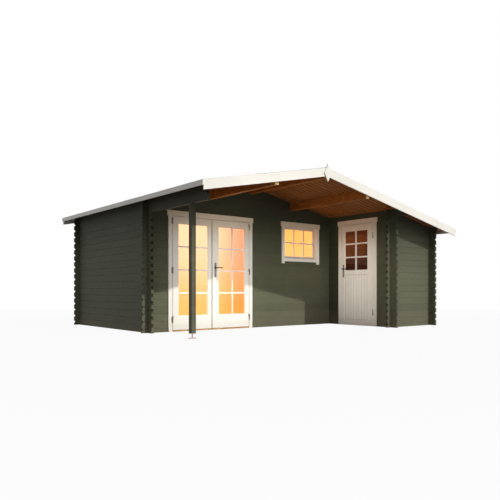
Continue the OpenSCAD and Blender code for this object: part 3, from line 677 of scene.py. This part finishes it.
# returns the places and aims of the nails
def makeFeltSheets():
    p = feltSheets
    lo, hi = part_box("roof_felt")
    pitch, t, lift = roofBoards["pitch"], p["thickness"], p["lift"]
    sheets, nails = bmesh.new(), []

    def topZ(x):
        return hi.z - math.tan(pitch) * abs(x - ridgeX)

    # line: (x, height above the roof, share of the waves) round the section of a sheet
    def addSheet(line, seed):
        loops = []
        for y in spread(lo.y + p["edge"], hi.y - p["edge"], p["steps"] + 1):
            loops.append([])
            for x, h, wave in line:
                shake = p["wave"] * noise.noise(Vector((x * 3, y * 1.7, seed))) * wave
                away = shake * 3 * (1 if x > ridgeX else -1)
                loops[-1].append((x + away, y, topZ(x) + h + abs(shake) * 0.6))
        addLoft(sheets, loops)

    def addNails(x, h):
        aim = Vector((math.sin(pitch) * (1 if x > ridgeX else -1), 0, math.cos(pitch)))
        count = int((hi.y - lo.y - 2 * p["nailEnd"]) / p["nailStep"]) + 1
        for k in range(count):
            nails.append(((x, lo.y + p["nailEnd"] + p["nailStep"] * k, topZ(x) + h), aim))

    for side, reach in ((-1, ridgeX - lo.x), (1, hi.x - ridgeX)):
        row, low = 0, p["start"]
        while low < reach - p["least"]:
            high = min(low + p["width"], reach - p["short"])
            x0, x1 = ridgeX + side * (reach - low), ridgeX + side * (reach - high)
            under = t if row else lift
            addSheet([(x0, under, 1), (x0, under + t, 1), (x1, t + lift, 0), (x1, lift, 0)], row * 3.1 + side)
            if row:
                addNails(x0 - side * p["nailIn"], under + t)
            low, row = low + p["width"] - p["lap"], row + 1
    left, right = ridgeX - p["ridge"], ridgeX + p["ridge"]
    addSheet([(left, t, 1), (left, 2 * t, 1), (ridgeX, 2 * t, 0), (right, 2 * t, 1), (right, t, 1), (ridgeX, t, 0)],
             17.0)
    for x in (left + p["nailIn"], right - p["nailIn"]):
        addNails(x, 2 * t)
    addPiece("felt_sheets", sheets, felt, "house", "roof_felt")
    return nails


feltNails = makeFeltSheets()

# heads of nails and screws of radius 1, made once and set by the fastener tree; rings are (radius, height) pairs
heads = {"nailSides": 10, "nailTip": 0.16, "nailRings": ((0.95, 0.1), (1.0, 0.0)), "screwSides": 16, "cross": 0.34,
         "crossWaist": 0.45, "crossFloor": 0.16, "lip": 1.35, "lipHeight": 0.34,
         "screwRings": ((0.62, 0.30), (0.86, 0.22), (1.0, 0.0))}


def addRing(bm, points, height):
    return [bm.verts.new((x, y, height)) for x, y in points]


def makeNailHead():
    p = heads
    bm = bmesh.new()
    tip = bm.verts.new((0, 0, p["nailTip"]))
    inner, outer = [addRing(bm, circle(radius, p["nailSides"]), height) for radius, height in p["nailRings"]]
    for a, b in zip(inner, inner[1:] + inner[:1]):
        bm.faces.new((tip, a, b))
    bridge(bm, inner, outer)
    return objectFrom("nailHead", bm, zinc)


def makeScrewHead():
    p = heads
    bm = bmesh.new()
    cross = [(x, y) if i % 4 == 0 else (x * p["crossWaist"], y * p["crossWaist"])
             for i, (x, y) in enumerate(circle(p["cross"], p["screwSides"]))]
    rings = [addRing(bm, cross, p["crossFloor"]),
             addRing(bm, [(x * p["lip"], y * p["lip"]) for x, y in cross], p["lipHeight"])]
    rings += [addRing(bm, circle(radius, p["screwSides"]), height) for radius, height in p["screwRings"]]
    bm.faces.new(rings[0])
    for a, b in zip(rings, rings[1:]):
        bridge(bm, a, b)
    return objectFrom("screwHead", bm, hingeMetal)


nailHead = makeNailHead()
screwHead = makeScrewHead()


# one head at each (place, aim) pair
def setFasteners(pairs, head, size, finish, body, slot, name, seed):
    points = plainObject("points", [place for place, aim in pairs], [])
    layer = points.data.attributes.new("aim", "FLOAT_VECTOR", "POINT")
    for item, (place, aim) in zip(layer.data, pairs):
        item.vector = aim
    obj = grow(points, fastenTree, {"Fastener": head, "Size": size, "Seed": seed, "Finish": finish}, name)
    onBody(obj, body, slot)


setFasteners(feltNails, nailHead, 0.006, zinc, "house", "foot_steel", "felt_nails", 5)
print("felt done")

# window bars and glazing beads of the doors and the window
glazing = {
    "left_leaf": {"body": "left_door_leaf", "glass": "left_leaf_glass", "cols": 2, "rows": 4, "side": False},
    "right_leaf": {"body": "right_door_leaf", "glass": "right_leaf_glass", "cols": 2, "rows": 4, "side": False},
    "side_leaf": {"body": "side_door_leaf", "glass": "side_leaf_glass", "cols": 2, "rows": 3, "side": True},
    "window_sash": {"body": "house", "glass": "window_glass", "cols": 3, "rows": 2, "side": False},
}
barSizes = {"width": 0.026, "proud": 0.004, "lap": 0.014, "ease": 0.003, "sunk": 0.004, "step": 0.0004,
            "bead": 0.012, "beadSunk": 0.003, "beadSkin": 0.0002}


def makeGlazing(node, p):
    s = barSizes
    onSide = p["side"]
    lo, hi = wallBox(p["glass"], onSide)
    # the cover strip stands out from the right leaf's face
    front = wallBox("left_leaf" if node == "right_leaf" else node, onSide)[0].y
    back = wallBox(node, onSide)[1].y
    proud, lap = (0.0, 0.0) if node == "window_sash" else (s["proud"], s["lap"])
    half = s["width"] / 2
    bars, beads = bmesh.new(), bmesh.new()
    for d0, d1, over in ((front - proud, lo.y, lap), (hi.y, back - s["sunk"], 0.0)):
        for u in spread(lo.x, hi.x, p["cols"] + 1)[1:-1]:
            addBar(bars, (u - half, d0, lo.z - over), (u + half, d1, hi.z + over), s["ease"], onSide)
        for z in spread(lo.z, hi.z, p["rows"] + 1)[1:-1]:
            addBar(bars, (lo.x - over, d0 + s["step"], z - half), (hi.x + over, d1, z + half), s["ease"], onSide)
    addPiece(node + "_bars", bars, whiteUp, p["body"], "white_paint")
    for face, glass, way in ((front, lo.y, 1), (back, hi.y, -1)):
        foot = glass - way * s["beadSkin"]
        rise = glass - face - way * s["beadSunk"]
        curve = [(s["bead"] * (1 - math.sin(a)), foot - rise * (1 - math.cos(a)))
                 for a in spread(0.0, math.pi / 2, 5)]
        addMoulding(beads, lo.x, hi.x, lo.z, hi.z, [(0.0, foot)] + curve, onSide)
    addPiece(node + "_beads", beads, whiteUp, p["body"], "white_paint")


for node, p in glazing.items():
    makeGlazing(node, p)
print("glazing done")

# matchboards in the lower panel of the side door, front and back
matchBoards = {"count": 8, "joint": 0.008, "slot": 0.002, "front": 0.008, "back": 0.003, "frontSunk": 0.014,
               "backSunk": 0.004, "jointDepth": 0.95, "foot": 0.101, "top": 0.948, "edge": 0.013}


def makeMatchBoards():
    p = matchBoards
    lo, hi = wallBox("side_leaf", True)
    field = wallBox("side_leaf_glass", True)
    u0, u1 = field[0].x + p["edge"], field[1].x - p["edge"]
    width = (u1 - u0) / p["count"]
    v, g = p["joint"], p["slot"]
    for name, root, out in (("front", lo.y + p["frontSunk"], -p["front"]),
                            ("back", hi.y - p["backSunk"], p["back"])):
        face = root + out
        low = face - out * p["jointDepth"]
        profile = ((g, root), (g, low), (g + v, face), (width * 0.3, face), (width * 0.7, face),
                   (width - g - v, face), (width - g, low), (width - g, root))
        board = bmesh.new()
        addLoft(board, [[wallPoint(True, u0 + u, d, z) for u, d in profile]
                        for z in (p["foot"] + p["edge"], p["top"] - p["edge"])])
        boards = grow(objectFrom("matchboard", board, whitePanel), repeatTree, {
            "Count": p["count"], "Step": tuple(wallPoint(True, width, 0, 0)), "Shift": 0.0, "Seed": 21,
            "Finish": whitePanel}, "side_leaf_boards_" + name)
        onBody(boards, "side_door_leaf", "white_paint")


makeMatchBoards()
print("side door boards done")


# turned shape on an axis; the profile is (radius, height) pairs
def addLathe(bm, base, axis, profile, sides=24):
    turn = Vector(axis).to_track_quat("Z", "Y").to_matrix()
    addLoft(bm, [[Vector(base) + turn @ Vector((x, y, h)) for x, y in circle(r, sides)] for r, h in profile])


# flat plate with the given outline on a wall face; its rim is chamfered on the far side
def addPlate(bm, outline, d0, d1, onSide, rim=0.0):
    cu = sum(u for u, z in outline) / len(outline)
    cz = sum(z for u, z in outline) / len(outline)
    rows = ((d0, 0.0), (d0 + (d1 - d0) * 0.6, 0.0), (d1, rim))
    addLoft(bm, [[wallPoint(onSide, u - inset * (1 if u > cu else -1), d, z - inset * (1 if z > cz else -1))
                  for u, z in outline] for d, inset in rows])


# outline of a bar with round ends
def capsule(u, z0, z1, radius):
    turns = spread(0.0, math.pi, 11)
    up = [(u + radius * math.cos(a), z1 - radius + radius * math.sin(a)) for a in turns]
    down = [(u - radius * math.cos(a), z0 + radius - radius * math.sin(a)) for a in turns]
    return up + down


# lock cylinders, the plates and levers on the room side, and hubs and flared grips on the outer levers
lock = {
    "leverUp": 0.160, "drop": 0.072, "round": 0.0085, "flag": 0.005, "tall": 0.033, "proud": 0.0025, "keyRim": 0.0005,
    "slot": 0.0012, "slotHalf": 0.0045, "slotProud": 0.0004, "plate": 0.003, "plateRim": 0.0008, "screw": 0.004,
    "screwIn": 0.014, "leverGap": 0.0034, "hubGap": 0.0004, "reach": 0.052, "grip": 0.108, "neck": 0.009,
    "tip": 0.0065,
    "spindle": ((0.014, 0.0), (0.015, 0.001), (0.015, 0.005), (0.0135, 0.006), (0.009, 0.0065), (0.009, 0.0486),
                (0.0081, 0.0526), (0.0054, 0.056), (0.001, 0.0575)),
    "hub": ((0.0172, 0.0), (0.0176, 0.001), (0.0172, 0.005), (0.0155, 0.0075), (0.0105, 0.0085)),
    "flare": ((0.0076, 0.058), (0.0082, 0.068), (0.0092, 0.088), (0.0094, 0.104), (0.0084, 0.113), (0.005, 0.1185),
              (0.001, 0.1195)),
}


def keyOutline(u, z):
    r, flag = lock["round"], lock["flag"]
    start = math.asin(flag / r)
    foot = z - lock["tall"] + r + flag
    arc = [(u + r * math.sin(a), z - r * math.cos(a)) for a in spread(start, 2 * math.pi - start, 19)]
    low = [(u + flag * math.cos(a), foot + flag * math.sin(a)) for a in spread(math.pi, 2 * math.pi, 7)]
    return arc + low


# rod with round ends that tapers from the neck to the tip
def gripProfile():
    neck, tip, grip = lock["neck"], lock["tip"], lock["grip"]
    shares = (0.2, 0.6, 0.9)
    start = [(neck * k, -neck * math.sqrt(1 - k * k)) for k in shares]
    end = [(tip * k, grip + tip * math.sqrt(1 - k * k)) for k in reversed(shares)]
    return start + list(zip(spread(neck, tip, 7), spread(0.0, grip, 7))) + end


def makeLock(name):
    p = lock
    onSide = name == "side"
    leafBody, leverBody = name + "_door_leaf", name + "_door_lever"
    lo, hi = wallBox(name + "_handle_plate", onSide)
    u, z = (lo.x + hi.x) / 2, lo.z + p["leverUp"]
    keyZ = z - p["drop"]
    inside = wallBox(name + "_leaf", onSide)[1].y
    plate, keys, slots, lever, hub = [bmesh.new() for _ in range(5)]
    screws = []
    addPlate(plate, capsule(u, lo.z, hi.z, (hi.x - lo.x) / 2), inside, inside + p["plate"], onSide, p["plateRim"])
    for face, way in ((lo.y, -1), (inside + p["plate"], 1)):
        out = face + way * p["proud"]
        addPlate(keys, keyOutline(u, keyZ), face, out, onSide, p["keyRim"])
        addPlate(slots, capsule(u, keyZ - p["slotHalf"], keyZ + p["slotHalf"], p["slot"]), out,
                 out + way * p["slotProud"], onSide)
        for place in (lo.z + p["screwIn"], hi.z - p["screwIn"]):
            screws.append((wallPoint(onSide, u, face, place), wallPoint(onSide, 0, way, 0)))
    axis, along = wallPoint(onSide, 0, 1, 0), wallPoint(onSide, 1, 0, 0)
    addLathe(lever, wallPoint(onSide, u, inside + p["leverGap"], z), axis, p["spindle"])
    addLathe(lever, wallPoint(onSide, u, inside + p["reach"], z), along, gripProfile())
    addLathe(hub, wallPoint(onSide, u, lo.y - p["hubGap"], z), -axis, p["hub"])
    addLathe(hub, wallPoint(onSide, u, hi.y - p["reach"], z), along, p["flare"])
    addPiece(name + "_inside_plate", plate, plateMetal, leafBody, "dark_metal")
    addPiece(name + "_lock_cylinders", keys, zinc, leafBody, "foot_steel")
    addPiece(name + "_key_slots", slots, darkMetal, leafBody, "dark_metal")
    setFasteners(screws, screwHead, p["screw"], hingeMetal, leafBody, "dark_metal", name + "_plate_screws", 31)
    addPiece(name + "_inside_lever", lever, darkMetal, leverBody, "dark_metal")
    addPiece(name + "_lever_hub", hub, darkMetal, leverBody, "dark_metal")


for name in ("right", "side"):
    makeLock(name)
print("locks done")

# domed caps on the hinge barrels, the lower ones on the frame, and plates on the casing of the double door;
# the dome is (share of the radius, height) pairs
hinges = {"radius": 0.008, "height": 0.1, "plate": 0.088, "plateWidth": 0.013, "plateThick": 0.0036,
          "plateGap": 0.0008, "plateRim": 0.0007, "screw": 0.0036, "screwOff": 0.03,
          "dome": ((1.0, 0.0), (1.0, 0.001), (0.92, 0.0024), (0.7, 0.0042), (0.35, 0.0056), (0.08, 0.006))}
hingeCounts = {"left": 3, "right": 3, "side": 2}


def makeHingeCaps():
    p = hinges
    r, half, tall = p["radius"], p["plateWidth"] / 2, p["plate"] / 2
    dome = [(r * share, h) for share, h in p["dome"]]
    fixed, plates, screws = bmesh.new(), bmesh.new(), []
    for name, count in hingeCounts.items():
        onSide = name == "side"
        lo, hi = wallBox(name + "_leaf_hinges", onSide)
        u, way = (lo.x + r, -1) if name == "left" else (hi.x - r, 1)
        moving = bmesh.new()
        for top in spread(lo.z + p["height"] / 2, hi.z, count):
            addLathe(moving, wallPoint(onSide, u, lo.y + r, top), (0, 0, 1), dome, 20)
            addLathe(fixed, wallPoint(onSide, u, lo.y + r, top - p["height"]), (0, 0, -1), dome, 20)
            if onSide:
                continue
            middle = top - p["height"] / 2
            beside = u + way * (r + p["plateGap"] + half)
            out = hi.y - p["plateThick"]
            addPlate(plates, capsule(beside, middle - tall, middle + tall, half), hi.y, out, False, p["plateRim"])
            for dz in (-p["screwOff"], p["screwOff"]):
                screws.append((Vector((beside, out, middle + dz)), Vector((0, -1, 0))))
        addPiece(name + "_hinge_caps", moving, hingeMetal, name + "_door_leaf", "dark_metal")
    addPiece("frame_hinge_caps", fixed, hingeMetal, "house", "dark_metal")
    addPiece("frame_hinge_plates", plates, hingeMetal, "house", "dark_metal")
    setFasteners(screws, screwHead, p["screw"], zinc, "house", "foot_steel", "hinge_screws", 33)


makeHingeCaps()
print("hinge caps done")

# thread, nuts and anchor bolts of the post foot; the washer is (share of the radius, height) pairs
foot = {"rod": 0.008, "crest": 0.0011, "pitch": 0.003, "plate": 0.006, "nut": 0.0138, "nutHeight": 0.011,
        "washer": 0.017, "washerRings": ((1.0, 0.0), (1.0, 0.0012), (0.97, 0.0016)), "bolt": 0.029, "head": 0.0085,
        "headHeight": 0.006, "boltWasher": 1.25, "boltWasherThick": 0.0012}


def hexRings(radius, height):
    return [(radius * 0.92, 0.0), (radius, height * 0.12), (radius, height * 0.86), (radius * 0.9, height)]


def makeFoot():
    p = foot
    lo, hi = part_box("post_foot")
    middle = Vector(((lo.x + hi.x) / 2, (lo.y + hi.y) / 2, 0.0))
    low, high = p["plate"], hi.z - p["plate"]
    # the tree needs a seed mesh: one tiny face in the rod's middle
    seed = plainObject("threadSeed", [(0, 0, 0), (0.0001, 0, 0), (0, 0.0001, 0)], [(0, 1, 2)])
    tall = high - low - 2 * p["nutHeight"]
    thread = grow(seed, threadTree, {
        "Radius": p["rod"], "Height": tall, "Turns": tall / p["pitch"], "Crest": p["crest"], "Finish": footZinc},
        "foot_thread")
    thread.data.transform(Matrix.Translation(middle + Vector((0, 0, low + p["nutHeight"]))))
    onBody(thread, "house", "foot_steel")
    nuts = bmesh.new()
    washer = [(p["washer"] * share, h) for share, h in p["washerRings"]]
    for z, way in ((low, 1), (high, -1)):
        addLathe(nuts, middle + Vector((0, 0, z)), (0, 0, way), washer, 28)
        addLathe(nuts, middle + Vector((0, 0, z + way * washer[-1][1])), (0, 0, way),
                 hexRings(p["nut"], p["nutHeight"]), 6)
    rim, thick = p["head"] * p["boltWasher"], p["boltWasherThick"]
    for sx in (-1, 1):
        for sy in (-1, 1):
            spot = middle + Vector((sx * p["bolt"], sy * p["bolt"], low))
            addLathe(nuts, spot, (0, 0, 1), [(rim, 0.0), (rim, thick)], 20)
            addLathe(nuts, spot + Vector((0, 0, thick)), (0, 0, 1), hexRings(p["head"], p["headHeight"]), 6)
    addPiece("foot_nuts", nuts, footZinc, "house", "foot_steel")


makeFoot()
print("post foot done")

# screws in the casings, and nails in the trim of the roof
trim = {"casing": 0.068, "ear": 0.020, "head": 0.084, "screw": 0.0045, "screwStep": 0.42, "screwLow": 0.08,
        "screwHigh": 0.06, "headEnd": 0.07, "headCount": 4, "barge": 0.127, "bargeEnd": 0.06, "bargeRidge": 0.1,
        "bargeFar": 0.6, "bargeRow": 0.03, "apex": ((-0.04, 0), (0.04, 0), (0, 0.08), (0, -0.08)), "fascia": 0.033,
        "fasciaEnd": 0.1, "fasciaCount": 9, "nail": 0.004}


def casingScrews(node, onSide, low):
    p = trim
    lo, hi = wallBox(node, onSide)
    high = hi.z - p["head"]
    inset = p["ear"] + p["casing"] / 2
    count = max(2, round((high - low) / p["screwStep"]))
    spots = [(u, z) for u in (lo.x + inset, hi.x - inset)
             for z in spread(low + p["screwLow"], high - p["screwHigh"], count)]
    spots += [(u, hi.z - p["head"] / 2) for u in spread(lo.x + p["headEnd"], hi.x - p["headEnd"], p["headCount"])]
    return [(wallPoint(onSide, u, lo.y, z), wallPoint(onSide, 0, -1, 0)) for u, z in spots]


def roofNails():
    p = trim
    nails = []
    pitch = roofBoards["pitch"]
    purlins = [(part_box(n)[0].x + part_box(n)[1].x) / 2 for n in ("left_purlin", "right_purlin")]
    for end, face, way in (("front", 0, -1), ("back", 1, 1)):
        aim = Vector((0, way, 0))
        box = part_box(end + "_bargeboards")
        lo, hi = box
        for x in (lo.x + p["bargeEnd"], purlins[0], ridgeX - p["bargeRidge"], ridgeX + p["bargeRidge"], purlins[1],
                  hi.x - p["bargeFar"], hi.x - p["bargeEnd"]):
            centre = hi.z - math.tan(pitch) * abs(x - ridgeX) - p["barge"] / math.cos(pitch) / 2
            nails += [(Vector((x, box[face].y, centre + dz)), aim) for dz in (-p["bargeRow"], p["bargeRow"])]
        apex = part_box(end + "_apex_plate")
        z = (apex[0].z + apex[1].z) / 2
        nails += [(Vector((ridgeX + dx, apex[face].y, z + dz)), aim) for dx, dz in p["apex"]]
    lo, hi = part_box("eave_fascias")
    for x, way, z in ((lo.x, -1, hi.z - p["fascia"]), (hi.x, 1, lo.z + p["fascia"])):
        nails += [(Vector((x, y, z)), Vector((way, 0, 0)))
                  for y in spread(lo.y + p["fasciaEnd"], hi.y - p["fasciaEnd"], p["fasciaCount"])]
    return nails


casings = (casingScrews("door_frame", False, 0.05) + casingScrews("side_door_frame", True, 0.05)
           + casingScrews("window_frame", False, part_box("window_frame")[0].z))
setFasteners(casings, screwHead, trim["screw"], zinc, "house", "foot_steel", "casing_screws", 12)
setFasteners(roofNails(), nailHead, trim["nail"], zinc, "house", "foot_steel", "trim_nails", 14)
print("screws and nails done")

# stage: white ground and background, an even sky, a low sun with soft fill, narrow soft boxes at the double door, the
# window and the side door, and two lamps in the room
stage = {
    "reach": 60.0, "floor": srgb(110, 110, 108), "floorRough": 0.9, "floorGlow": 0.95, "fadeFrom": 5.0,
    "fadeTo": 14.0, "sky": 0.28, "sunColour": (1.0, 0.975, 0.93), "boxColour": (1.0, 0.95, 0.86), "boxSize": 1.2,
    "lampColour": (1.0, 0.62, 0.28), "lamp": 5.0, "lampSize": 0.25, "lampDeep": 1.3, "lampHeight": 1.75,
}
suns = {
    "sun": {"power": 2.5, "turn": 21.2, "height": 37.4, "size": 1.2},
    "fill": {"power": 0.65, "turn": 2.0, "height": 25.0, "size": 50.0},
}
boxes = {
    "doorBox": {"power": 5.2, "spread": 21.0, "place": (0.4, -8.0, 0.9), "aim": (1.45, 0.0, 1.05)},
    "windowBox": {"power": 1.0, "spread": 9.5, "place": (2.2, -8.0, 0.9), "aim": (3.19, 0.0, 1.35)},
    "sideBox": {"power": 4.9, "spread": 17.0, "place": (-3.5, -5.6, 0.9), "aim": (4.0, -0.75, 0.95)},
}
roomLamps = {"roomLampLeft": 1.2, "roomLampRight": 3.2}


# 1 where the camera sees a surface, also in glass, 0 where it only lights others
def seenOf(tree):
    path = addNode(tree, "ShaderNodeLightPath").outputs
    return calc(tree, "MAXIMUM", path["Is Camera Ray"],
                calc(tree, "MAXIMUM", path["Is Glossy Ray"], path["Is Transmission Ray"]))


def makeGround():
    p = stage
    r = p["reach"]
    ground = plainObject("ground", [(-r, -r, 0), (r, -r, 0), (r, r, 0), (-r, r, 0)], [(0, 1, 2, 3)])
    mat, tree, shader, coords = newMaterial("ground", Base_Color=p["floor"], Roughness=p["floorRough"])
    glow = addNode(tree, "ShaderNodeEmission", {"Color": (1, 1, 1, 1), "Strength": 1.0})
    far = addNode(tree, "ShaderNodeVectorMath", {0: coords}, operation="LENGTH").outputs["Value"]
    share = ramp(tree, far, p["fadeFrom"], p["fadeTo"], p["floorGlow"], 1.0)
    both = addNode(tree, "ShaderNodeMixShader", {
        0: calc(tree, "MULTIPLY", seenOf(tree), share), 1: shader.outputs[0], 2: glow.outputs[0]})
    plug(tree, both.outputs[0], tree.nodes["Material Output"].inputs[0])
    ground.data.materials.append(mat)


def makeSky():
    world = bpy.data.worlds.new("sky")
    world.use_nodes = True
    scene.world = world
    tree = world.node_tree
    back = tree.nodes["Background"].inputs
    plug(tree, ramp(tree, seenOf(tree), 0.0, 1.0, stage["sky"], 1.0), back["Strength"])
    back["Color"].default_value = (1, 1, 1, 1)


def addLamp(name, kind, power, colour, place=(0, 0, 0), away=(0, 0, 1), **props):
    data = bpy.data.lights.new(name, kind)
    data.energy = power
    data.color = colour
    for key, value in props.items():
        setattr(data, key, value)
    lamp = linked(name, data)
    lamp.location = place
    lamp.rotation_euler = Vector(away).to_track_quat("Z", "Y").to_euler()
    if kind != "SUN":
        lamp.visible_camera = lamp.visible_glossy = lamp.visible_transmission = False


def makeLamps():
    p = stage
    for name, s in suns.items():
        turn, height = math.radians(s["turn"]), math.radians(s["height"])
        away = (math.sin(turn) * math.cos(height), -math.cos(turn) * math.cos(height), math.sin(height))
        addLamp(name, "SUN", s["power"], p["sunColour"], away=away, angle=math.radians(s["size"]))
    for name, b in boxes.items():
        place = Vector(b["place"])
        addLamp(name, "AREA", b["power"], p["boxColour"], corner + place, place - Vector(b["aim"]),
                size=p["boxSize"], spread=math.radians(b["spread"]))
    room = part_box("main_floor")[0]
    for name, x in roomLamps.items():
        addLamp(name, "POINT", p["lamp"], p["lampColour"], (room.x + x, room.y + p["lampDeep"], p["lampHeight"]),
                shadow_soft_size=p["lampSize"])


makeGround()
makeSky()
makeLamps()
print("stage done")

# camera, placed from the house corner; focal length and horizon in pixels of a 500 pixel image
view = {"place": (-4.0938, -7.6822, 0.653), "turn": -38.366, "focal": 563.24, "horizon": 40.15, "image": 500.0,
        "sensor": 36.0, "farthest": 200.0}
camera = bpy.data.cameras.new("camera")
camera.sensor_fit = "HORIZONTAL"
camera.sensor_width = view["sensor"]
camera.lens = view["focal"] / view["image"] * view["sensor"]
camera.shift_y = view["horizon"] / view["image"]
camera.clip_end = view["farthest"]
cameraObject = linked("camera", camera)
cameraObject.location = corner + Vector(view["place"])
cameraObject.rotation_euler = (math.pi / 2, 0.0, math.radians(view["turn"]))
scene.camera = cameraObject
scene.view_settings.view_transform = "Standard"

for helper in (nailHead, screwHead):
    bpy.data.objects.remove(helper)
